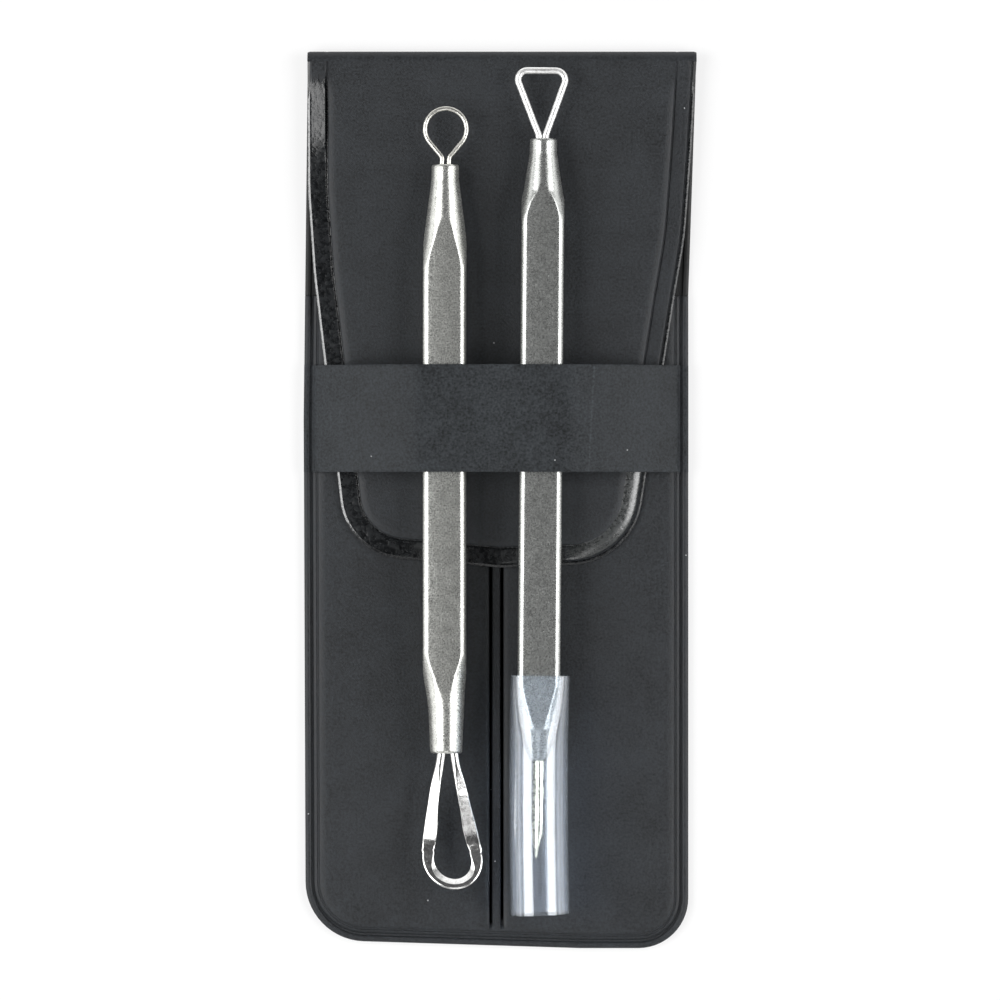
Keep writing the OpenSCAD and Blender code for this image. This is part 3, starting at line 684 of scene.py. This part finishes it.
def buildBand():
    rows = np.linspace(0, 1, band["rows"] + 1)
    rows = np.concatenate([[0, 0.006, 0.02], rows[1:-1], [0.98, 0.994, 1]])
    upper, lower = [], []
    for share in rows:
        y = band["low"] + band["wide"] * share
        left, right = edgeX(y, True), edgeX(y, False)
        flat = bandPath(left, right)
        ahead = np.gradient(flat, axis=0)
        ahead /= np.linalg.norm(ahead, axis=1)[:, None]
        side = np.stack([-ahead[:, 1], ahead[:, 0]], axis=1)
        rounded = band["edgeRound"] * (1 - min(1.0, min(share, 1 - share) / 0.02)) ** 2
        # near its feet the band's thickness stands upright
        blend = np.clip(np.minimum(np.arange(len(flat)), np.arange(len(flat))[::-1]) / 3, 0, 1)[:, None]
        side = side * blend + np.array([[0, 1.0]]) * (1 - blend)
        out = flat + side * (band["thick"] - rounded)
        # a slight crease runs slanting down the band's right part
        creaseX = band["creaseAt"] + band["creaseLean"] * share
        out[:, 1] += band["crease"] * np.exp(-((out[:, 0] - creaseX) / band["creaseWide"]) ** 2)
        first = [(left + d, z) for d, z in band["weld"]]
        last = [(right - d, z) for d, z in reversed(band["weld"])]
        upper += [(x, y, z) for x, z in first + [tuple(p) for p in out] + last]
        lower += [(x, y, band["weldLow"]) for x, _ in first]
        lower += [(x, y, z) for x, z in flat]
        lower += [(x, y, band["weldLow"]) for x, _ in last]
    return smoothMesh("bandSheet", upper + lower, slabFaces(len(rows), len(upper) // len(rows)))


def dress(piece, body, slot, surfaces, *nodes, ride=True):
    for surface in surfaces:
        piece.data.materials.append(materials[surface])
    if ride:
        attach(piece, body)
    if nodes:
        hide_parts(*nodes)
    return piece


dress(buildBackSheet(), "pouch", "vinyl", ["vinylMatte"], "back_sheet")
dress(buildLining(), "pouch", "lining", ["vinylInside"], "back_lining", "back_foam")
dress(buildFrontSheet(), "pouch", "vinyl", ["vinylMatte"], "front_sheet")
dress(buildBand(), "pouch", "vinyl", ["vinylBand"], "band")
flapSheet = dress(buildFlap(), "flap", "vinyl", ["vinylMatte", "vinylWeldAndShade", "vinylEdge", "vinylShine"],
                  "flap_sheet", "flap_foam")
dress(buildFlapLining(), "flap", "lining", ["vinylInside"], "flap_lining")
foldSheet = dress(buildFold(), "flap", "vinyl", ["vinylMatte"], ride=False)
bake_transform(foldSheet)
print("pouch and flap built")

# tools

handle = {
    "wide": 6.4, "thick": 5.6, "edge": 0.9, "axisZ": 6.1, "angles": 180, "soften": 0.035, "crown": 0.005,
    "tip": 2.03, "chamfer": 0.25, "straight": 2.2, "rim": 0.06, "fine": 0.25, "coarse": 6.0, "bar": 14,
}
barHalf = np.array([handle["wide"], handle["thick"]]) / 2
barCorner = barHalf - handle["edge"]  # the middle of the rounding of an edge
fullRadius = math.hypot(*barCorner) + handle["edge"] + 0.3  # beyond the bar's edges
# "end" lists (distance from the lower end, radius) and "cone" lists (distance below the top, radius)
loopTool = {
    "x": -8.3, "top": 50.15, "length": 88.0, "roll": 1.3, "cone": [(17.2, fullRadius), (11.2, 3.2)],
    "end": [(0, 2.15), (0.06, 2.24), (0.25, 2.4), (6.3, 2.64), (8.8, 2.85), (11.6, 3.2), (14.2, 3.75),
            (16, fullRadius)],
    # (from y, to y, mm): the turned ends sit a little to the right of the bar
    "asides": [(30, 42, 0.1), (49, 52, 0.1), (-25, -32, 0.25)],
}
lancetTool = {
    "x": 6.1, "top": 54.05, "length": 93.0, "lean": -0.5,
    "cone": [(13.6, fullRadius), (12.2, 3.9), (11.0, 3.65), (9.65, 3.38), (8.0, 2.92), (6.0, 2.62)],
    "end": [(0, 1.1), (0.06, 1.2), (0.25, 1.35), (2.4, 2.2), (4.7, 2.8), (8.2, 3.3), (10.6, 3.7),
            (12.15, fullRadius)],
}
loopEnd = loopTool["top"] - loopTool["length"]
lancetEnd = lancetTool["top"] - lancetTool["length"]


def turnedProfile(tool):
    # (y, radius) from the tool's lower end over its bar to its top
    top, tip = tool["top"], handle["tip"]
    upper = tool["cone"] + [(handle["straight"], tip + 0.02), (handle["chamfer"], tip),
                            (handle["rim"], tip - 0.16), (0, tip - handle["chamfer"])]
    return [(top - tool["length"] + d, r) for d, r in tool["end"]] + [(top - d, r) for d, r in upper]


def boxRadius(angle):
    # how far the rounded rectangle of the handle's section reaches at this angle
    u = np.abs([math.cos(angle), math.sin(angle)])
    for k in (0, 1):
        if u[k] > 1e-9 and barHalf[k] / u[k] * u[1 - k] <= barCorner[1 - k]:
            return barHalf[k] / u[k]
    along = float(barCorner @ u)
    return along + math.sqrt(max(along * along - float(barCorner @ barCorner) + handle["edge"] ** 2, 0))


def handleMesh(name, tool, place):
    # rings along Y, each the smaller of the bar's section and the turned radius, with softened edges
    ys, radii = np.array(turnedProfile(tool)).T
    stations = []
    for a, b in zip(ys, ys[1:]):
        pieces = max(1, math.ceil((b - a) / (handle["fine"] if b - a < handle["bar"] else handle["coarse"])))
        stations += [a + (b - a) * k / pieces for k in range(pieces)]
    stations.append(ys[-1])
    angles = [2 * math.pi * k / handle["angles"] for k in range(handle["angles"])]
    box = np.array([boxRadius(a) for a in angles])
    soft = handle["soften"]
    verts = []
    for y in stations:
        turned = float(np.interp(y, ys, radii))
        low = np.minimum(box, turned)
        cut = soft * np.log(np.exp(-(box - low) / soft) + np.exp(-(turned - low) / soft))
        radius = low - cut * (turned < fullRadius - 0.01)
        for r, a in zip(radius, angles):
            x, z = r * math.cos(a), r * math.sin(a)
            verts.append(place(x, y, z * (1 - handle["crown"] * x * x)))
    return smoothMesh(name, verts, flipped(tubeFaces(len(stations), len(angles))), 42)


def placeLoopTool(x, y, z):
    aside = sum(by * float(smoothStep(start, end, y)) for start, end, by in loopTool["asides"])
    roll = math.radians(loopTool["roll"])
    return (loopTool["x"] + x * math.cos(roll) - z * math.sin(roll) + aside, y,
            handle["axisZ"] + x * math.sin(roll) + z * math.cos(roll))


def placeLancetTool(x, y, z):
    # the whole tool leans round its middle
    lean = math.radians(lancetTool["lean"])
    middle = lancetTool["top"] - lancetTool["length"] / 2
    along = y - middle
    return (lancetTool["x"] + x * math.cos(lean) - along * math.sin(lean),
            middle + x * math.sin(lean) + along * math.cos(lean), handle["axisZ"] + z)


def sweep(name, path, sections, place, angle=50):
    # a tube through the path's points (x, y, z), with sections of (across, up) offsets at each point
    path = np.array(path)
    ahead = np.gradient(path, axis=0)
    ahead /= np.linalg.norm(ahead, axis=1)[:, None]
    verts = []
    for point, t, section in zip(path, ahead, sections):
        across = np.cross(t, (0, 0, 1.0))
        across /= np.linalg.norm(across)
        up = np.cross(across, t)
        verts += [place(*(point + across * a + up * b)) for a, b in section]
    return smoothMesh(name, verts, tubeFaces(len(path), len(sections[0])), angle)


def arc(centre, radius, start, turn, steps):
    angles = [start + turn * k / steps for k in range(steps + 1)]
    return [(centre[0] + radius * math.cos(a), centre[1] + radius * math.sin(a)) for a in angles]


def loopPath(corner, cornerRadius, foot, footRadius, low):
    # right half of a wire loop, from the leg's end up to the top: leg, bend, straight, corner
    span = np.array(foot) - np.array(corner)
    slant = math.atan2(-span[1], span[0]) - math.acos((cornerRadius + footRadius) / np.linalg.norm(span))
    leg = [(foot[0] - footRadius, y) for y in np.linspace(low, foot[1], 8)]
    bend = arc(foot, footRadius, math.pi, -slant, 8)
    turn = arc(corner, cornerRadius, -slant, math.pi / 2 + slant, 26)
    first, last = np.array(bend[-1]), np.array(turn[0])
    straight = [tuple(first + (last - first) * k / 6) for k in range(1, 6)]
    return leg + bend[1:] + straight + turn


def wireLoop(name, wire, half, base, place):
    # "aside" moves the loop along X, "slant" moves it further as it reaches up
    left = [(-x, y) for x, y in reversed(half)]
    whole = half + [p for p in left if abs(p[0]) > 1e-6]
    path = [(x + wire["aside"] + wire["slant"] * max(y, 0), base + y, 0) for x, y in whole]
    section = arc((0, 0), wire["d"] / 2, 0, 2 * math.pi, 28)[:-1]
    return sweep(name, path, [section] * len(path), place)


def buildRoundLoop():
    wire = {"d": 0.7, "outside": 6.9, "reach": 5.3, "legs": 1.05, "bend": 0.8, "foot": 0.8, "deep": 2.5,
            "aside": 0.0, "slant": 0.0}
    foot = (wire["legs"] / 2 + wire["bend"], wire["foot"] - wire["reach"])
    ring = (wire["outside"] - wire["d"]) / 2
    half = loopPath((0, 0), ring, foot, wire["bend"], -wire["reach"] - wire["deep"])
    return wireLoop("roundLoop", wire, half, loopTool["top"] + wire["reach"], placeLoopTool)


def buildTriangleLoop():
    wire = {"d": 1.0, "wide": 8.0, "reach": 10.65, "legs": 1.04, "bend": 1.2, "foot": 0.3, "corner": 1.4,
            "deep": 2.5, "aside": -0.18, "slant": -0.02}
    across = wire["wide"] / 2 - wire["corner"] - wire["d"] / 2
    up = wire["reach"] - wire["corner"] - wire["d"] / 2
    foot = (wire["legs"] / 2 + wire["bend"], wire["foot"])
    half = loopPath((across, up), wire["corner"], foot, wire["bend"], -wire["deep"])
    half += [(across * (1 - k / 5), up + wire["corner"]) for k in range(1, 6)]
    return wireLoop("triangleLoop", wire, half, lancetTool["top"], placeLancetTool)


# lengths along the wire are measured from the handle's end; pairs are where a change starts and ends
teardrop = {
    "outside": 8.95, "reach": 20.3, "legs": 1.76, "leg": 1.4, "wire": 1.65, "flat": 0.7,
    "flatOver": (1.0, 7.5), "waist": 8.1, "waistFrom": 11.7, "waistWire": 2.15, "waistOver": 2.6,
    "aside": 0.25, "asideMore": 0.0029,
    "bend": 16.0, "bendFrom": 11.0, "bendOver": 4.5, "cornerIn": 0.04, "cornerOut": 0.09,
    "tiltLeft": 19.0, "tiltRight": 15.5, "tiltOver": (0.5, 4), "tiltBack": (11.8, 14.2),
    "inner": 0.12, "innerMore": 0.8, "innerSlope": 0.44, "innerOver": (12.0, 14.5), "lowSlope": 0.04,
    "lowOver": (15.5, 18.5), "outer": 0.2, "outerSlope": 0.45, "outerOver": (3.0, 8.0),
}
bowRadius = (teardrop["outside"] - teardrop["wire"]) / 2
bowY = teardrop["outside"] / 2 - teardrop["reach"]


def teardropLine():
    # the middle of the flattened wire: down the right side, round the bow and up again
    leg, waist = teardrop["legs"] / 2, (teardrop["waist"] - teardrop["waistWire"]) / 2 - 0.05
    side = np.array([(leg, 2.5), (leg, 1.0), (leg + 0.02, 0.0), (1.32, -2.4), (1.92, -5.4), (2.5, -8.6),
                     (waist, -teardrop["waistFrom"] - 0.2), (bowRadius - 0.04, bowY + 1.3)])
    length = np.concatenate([[0], np.cumsum(np.linalg.norm(np.diff(side, axis=0), axis=1))])
    fine = np.linspace(0, length[-1], 60)
    smooth = np.column_stack([np.interp(fine, length, side[:, k]) for k in (0, 1)])
    for _ in range(30):
        smooth[1:-1] = smooth[1:-1] * 0.5 + (smooth[:-2] + smooth[2:]) * 0.25
    bow = arc((0, bowY), bowRadius, math.radians(14), -math.radians(104), 26)
    half = [tuple(p) for p in smooth if p[1] > bow[0][1] + 0.4] + bow
    return half + [(-x, y) for x, y in reversed(half) if x > 1e-6]


def teardropHeight(s):
    # the wire bends up over a stretch, then runs on straight
    u = s - teardrop["bendFrom"]
    v = min(max(u, 0), teardrop["bendOver"])
    slope = math.tan(math.radians(teardrop["bend"]))
    return slope * (v * v / (2 * teardrop["bendOver"]) + max(u - teardrop["bendOver"], 0))


def teardropSection(x, y, s):
    def change(name):
        return float(smoothStep(*teardrop[name], s))

    flattened = change("flatOver")
    waisted = math.exp(-((s - teardrop["waistFrom"]) / teardrop["waistOver"]) ** 2)
    wide = teardrop["leg"] + (teardrop["wire"] - teardrop["leg"]) * flattened
    wide += (teardrop["waistWire"] - teardrop["wire"]) * waisted
    thick = teardrop["leg"] + (teardrop["flat"] - teardrop["leg"]) * flattened
    # the flat faces lean outwards above the bend, more on the left leg
    tilt = math.radians(teardrop["tiltLeft"] if x < 0 else teardrop["tiltRight"])
    tilt *= change("tiltOver") * (1 - change("tiltBack"))
    # the face follows the bend where the wire runs across it
    bent = min(max((s - teardrop["bendFrom"]) / teardrop["bendOver"], 0), 1)
    tilt -= (math.atan(math.tan(math.radians(teardrop["bend"])) * bent)
             * min(max((bowY - y) / bowRadius, 0), 1))
    # the inner side is cut slanting, most of all at the lower end; the outer side a little
    low = change("lowOver")
    innerAt = wide / 2 - (teardrop["inner"] + teardrop["innerMore"] * low) * flattened
    innerSlope = teardrop["innerSlope"] * change("innerOver") + teardrop["lowSlope"] * low
    outerAt = wide / 2 - teardrop["outer"] * flattened
    outerSlope = teardrop["outerSlope"] * change("outerOver")
    section = []
    for sideways, upwards, start in ((1, 1, 0), (-1, 1, 1), (-1, -1, 2), (1, -1, 3)):
        sharp = teardrop["cornerIn"] if sideways > 0 else teardrop["cornerOut"]
        corner = thick / 2 + (sharp - thick / 2) * flattened
        for k in range(7):
            a = math.pi / 2 * (start + k / 6)
            u = sideways * (wide / 2 - corner) + corner * math.cos(a)
            v = upwards * (thick / 2 - corner) + corner * math.sin(a)
            cut = max(u - innerAt, 0) * innerSlope + max(-u - outerAt, 0) * outerSlope
            section.append((u, v - cut * (v > 0)))
        if start == 0:
            section.append((min(innerAt, wide / 2 - corner - 0.01), thick / 2))
            section.append((-min(outerAt, wide / 2 - corner - 0.01), thick / 2))
    return [(u * math.cos(tilt) - v * math.sin(tilt), u * math.sin(tilt) + v * math.cos(tilt))
            for u, v in section]


def buildTeardrop():
    path, sections = [], []
    for x, y in teardropLine():
        s = max(-y, 0)
        aside = teardrop["aside"] + teardrop["asideMore"] * s * s
        path.append((x + aside, loopEnd + y, teardropHeight(s)))
        sections.append(teardropSection(x, y, s))
    return sweep("teardropLoop", path, sections, placeLoopTool, angle=18)


def buildLancet():
    # a rod ground to a ridge, with a slanting point
    look = {
        "half": 0.75, "ridge": 0.58, "reach": 15.0, "point": 4.6, "tipX": -0.2, "tipHigh": 0.06, "deep": 2.5,
        "powerLeft": 0.8, "powerRight": 0.95, "powerHigh": 0.7,
        # share of the width from the left, share of the height
        "ring": [(0.71, 1.0), (0.6, 0.99), (0.27, 0.7), (0.02, 0.66), (0.0, 0.6), (0.0, -0.5), (0.2, -0.9),
                 (0.55, -1.0), (0.85, -0.8), (1.0, -0.4), (1.0, 0.66), (0.74, 0.985)],
    }
    rows = [(lancetEnd + look["deep"], 1.0)] + [(lancetEnd - t, 1.0) for t in (0.0, 3.0, 6.0, 9.4)]
    rows += [(lancetEnd - look["reach"] + look["point"] * t, t) for t in np.linspace(0.96, 0, 16)]
    verts = []
    for y, t in rows:
        left = look["tipX"] + (-look["half"] - look["tipX"]) * t ** look["powerLeft"]
        right = look["tipX"] + (look["half"] - look["tipX"]) * t ** look["powerRight"]
        high = look["tipHigh"] + (look["ridge"] - look["tipHigh"]) * t ** look["powerHigh"]
        verts += [placeLancetTool(left + (right - left) * u, y, high * rise) for u, rise in look["ring"]]
    return smoothMesh("lancetPoint", verts, flipped(tubeFaces(len(rows), len(look["ring"]))), 15)


sleeve = {
    "length": 35.7, "inner": 4.12, "wall": 0.3, "over": 0.6, "sides": 96, "rings": 48, "high": 2.9,
    "square": 3.6, "roundFrom": 10.5, "bow": [(0, 0.2), (0.25, 0.08), (0.55, 0.12), (0.8, 0.3), (1, 0.5)],
    "endSlant": 0.2, "mouthWave": 0.06, "waveTurn": 0.6,
}


def buildSleeve():
    # a soft tube, pressed flat over the bar at its mouth, round further down and slightly bowed
    mouth = lancetEnd + lancetTool["end"][-1][0] + sleeve["over"]
    outward = [(k / sleeve["rings"], sleeve["wall"]) for k in range(sleeve["rings"] + 1)]
    rows = outward + [(t, 0) for t, _ in reversed(outward)]
    bows, asides = np.array(sleeve["bow"]).T
    verts = []
    for t, wall in rows:
        y = mouth - sleeve["length"] * t
        bow = float(np.interp(t, bows, asides))
        rounded = float(smoothStep(0, sleeve["roundFrom"], sleeve["length"] * t))
        power = 2 / (sleeve["square"] + (2 - sleeve["square"]) * rounded)
        high = sleeve["high"] + (sleeve["inner"] - sleeve["high"]) * rounded
        for i in range(sleeve["sides"]):
            a = 2 * math.pi * i / sleeve["sides"]
            c, n = math.cos(a), math.sin(a)
            x = (sleeve["inner"] + wall) * math.copysign(abs(c) ** power, c)
            z = (high + wall) * math.copysign(abs(n) ** power, n)
            slant = sleeve["endSlant"] * c * t * t
            slant -= sleeve["mouthWave"] * abs(math.sin(a + sleeve["waveTurn"])) * (1 - t)
            verts.append(placeLancetTool(bow + x, y + slant, z))
    return smoothMesh("sleeveTube", verts, tubeFaces(len(rows), sleeve["sides"], closed=True), 50)


loopHandle = handleMesh("loopHandle", loopTool, placeLoopTool)
lancetHandle = handleMesh("lancetHandle", lancetTool, placeLancetTool)
dress(loopHandle, "loop_tool", "satin_steel", ["satinSteel"], "loop_handle")
dress(lancetHandle, "lancet_tool", "satin_steel", ["satinSteelDark"], "lancet_handle")
dress(buildRoundLoop(), "loop_tool", "bright_steel", ["wireSteel"], "round_loop")
dress(buildTriangleLoop(), "lancet_tool", "bright_steel", ["triangleSteelPaintedBright"], "triangle_loop")
dress(buildTeardrop(), "loop_tool", "bright_steel", ["brightSteel"], "teardrop_loop")
dress(buildLancet(), "lancet_tool", "bright_steel", ["lancetSteel"], "lancet")
dress(buildSleeve(), "sleeve", "clear_sleeve", ["clearSleeve"], "sleeve")
print("tools built")

# studio

studio = {
    "cameraHeight": 1000.0, "frameWidth": 150.0, "frameAt": 3.0, "sensor": 36.0,
    "floorSize": 3000.0, "floorZ": -0.05, "paperGlow": 0.7,
    "paper": {"Base Color": (0.86, 0.86, 0.86, 1), "Roughness": 0.9, "Specular IOR Level": 0.1},
    # the world is white up to the height "horizon" of a direction and dark from "above";
    # "between" lists (height, brightness)
    "horizon": 0.06, "above": 0.9, "dark": (0.02, 0.02, 0.021, 1), "between": ((0.2, 0.5), (0.4, 0.12)),
    "worldStrength": 2.2,
}
# each lamp: size in mm, radiance, distance in mm, degrees from overhead towards +X and towards +Y
lamps = {
    "lampLeft": ((460, 520), 5.0, 640, -45, 0),
    "lampRight": ((400, 520), 5.0, 640, 50, 0),
    "lampNear": ((300, 400), 1.6, 700, 0, -38),
}


def buildFloor():
    # white paper that also glows towards the camera, so that the background stays white
    half = studio["floorSize"] / 2
    corners = [(x * half, y * half, studio["floorZ"]) for x, y in ((-1, -1), (1, -1), (1, 1), (-1, 1))]
    floor = smoothMesh("floor", corners, [(0, 1, 2, 3)])
    material, tree, shader = newMaterial("floorPaper", studio["paper"])
    path = addNode(tree, "ShaderNodeLightPath").outputs
    seen = mathNode(tree, "MAXIMUM", path["Is Camera Ray"], path["Is Glossy Ray"])
    seen = mathNode(tree, "MAXIMUM", seen, path["Is Transmission Ray"])
    share = mathNode(tree, "MULTIPLY", seen, studio["paperGlow"])
    glow = addNode(tree, "ShaderNodeEmission", {"Color": (1, 1, 1, 1), "Strength": 1.0})
    mix = addNode(tree, "ShaderNodeMixShader", {0: share, 1: shader.outputs[0], 2: glow.outputs[0]})
    useSurface(tree, mix.outputs[0])
    floor.data.materials.append(material)


def buildLamp(name, size, radiance, distance, tiltX, tiltY):
    # a soft box that looks at the origin, tipped from overhead by tiltX and tiltY degrees
    lamp = bpy.data.lights.new(name, "AREA")
    lamp.shape = "RECTANGLE"
    lamp.size, lamp.size_y = size[0] * mm, size[1] * mm
    lamp.energy = radiance * math.pi * lamp.size * lamp.size_y
    holder = bpy.data.objects.new(name, lamp)
    x, y = math.radians(tiltX), math.radians(tiltY)
    holder.location = (distance * math.sin(x) * mm, distance * math.sin(y) * mm,
                       distance * math.cos(x) * math.cos(y) * mm)
    holder.rotation_euler = (-y, x, 0)
    bpy.context.scene.collection.objects.link(holder)


def buildWorld():
    # white at the horizon, dark overhead, as in a studio with a high ceiling
    world = bpy.data.worlds.new("studioWorld")
    world.use_nodes = True
    tree = world.node_tree
    direction = addNode(tree, "ShaderNodeTexCoord").outputs["Generated"]
    split = addNode(tree, "ShaderNodeSeparateXYZ", {0: direction})
    ramp = addNode(tree, "ShaderNodeValToRGB", {0: split.outputs["Z"]})
    stops = ramp.color_ramp.elements
    stops[0].position, stops[0].color = studio["horizon"], (1, 1, 1, 1)
    stops[1].position, stops[1].color = studio["above"], studio["dark"]
    for position, value in studio["between"]:
        stops.new(position).color = (value, value, value, 1)
    back = tree.nodes["Background"]
    tree.links.new(ramp.outputs[0], back.inputs["Color"])
    back.inputs["Strength"].default_value = studio["worldStrength"]
    bpy.context.scene.world = world


def buildCamera():
    eye = bpy.data.cameras.new("camera")
    eye.sensor_width = studio["sensor"]
    eye.lens = studio["sensor"] * (studio["cameraHeight"] - studio["frameAt"]) / studio["frameWidth"]
    eye.clip_end = 20
    holder = bpy.data.objects.new("camera", eye)
    holder.location = (0, 0, studio["cameraHeight"] * mm)
    bpy.context.scene.collection.objects.link(holder)
    bpy.context.scene.camera = holder


buildFloor()
for name, values in lamps.items():
    buildLamp(name, *values)
buildWorld()
buildCamera()
bpy.context.scene.view_settings.view_transform = "Standard"
print("studio ready")
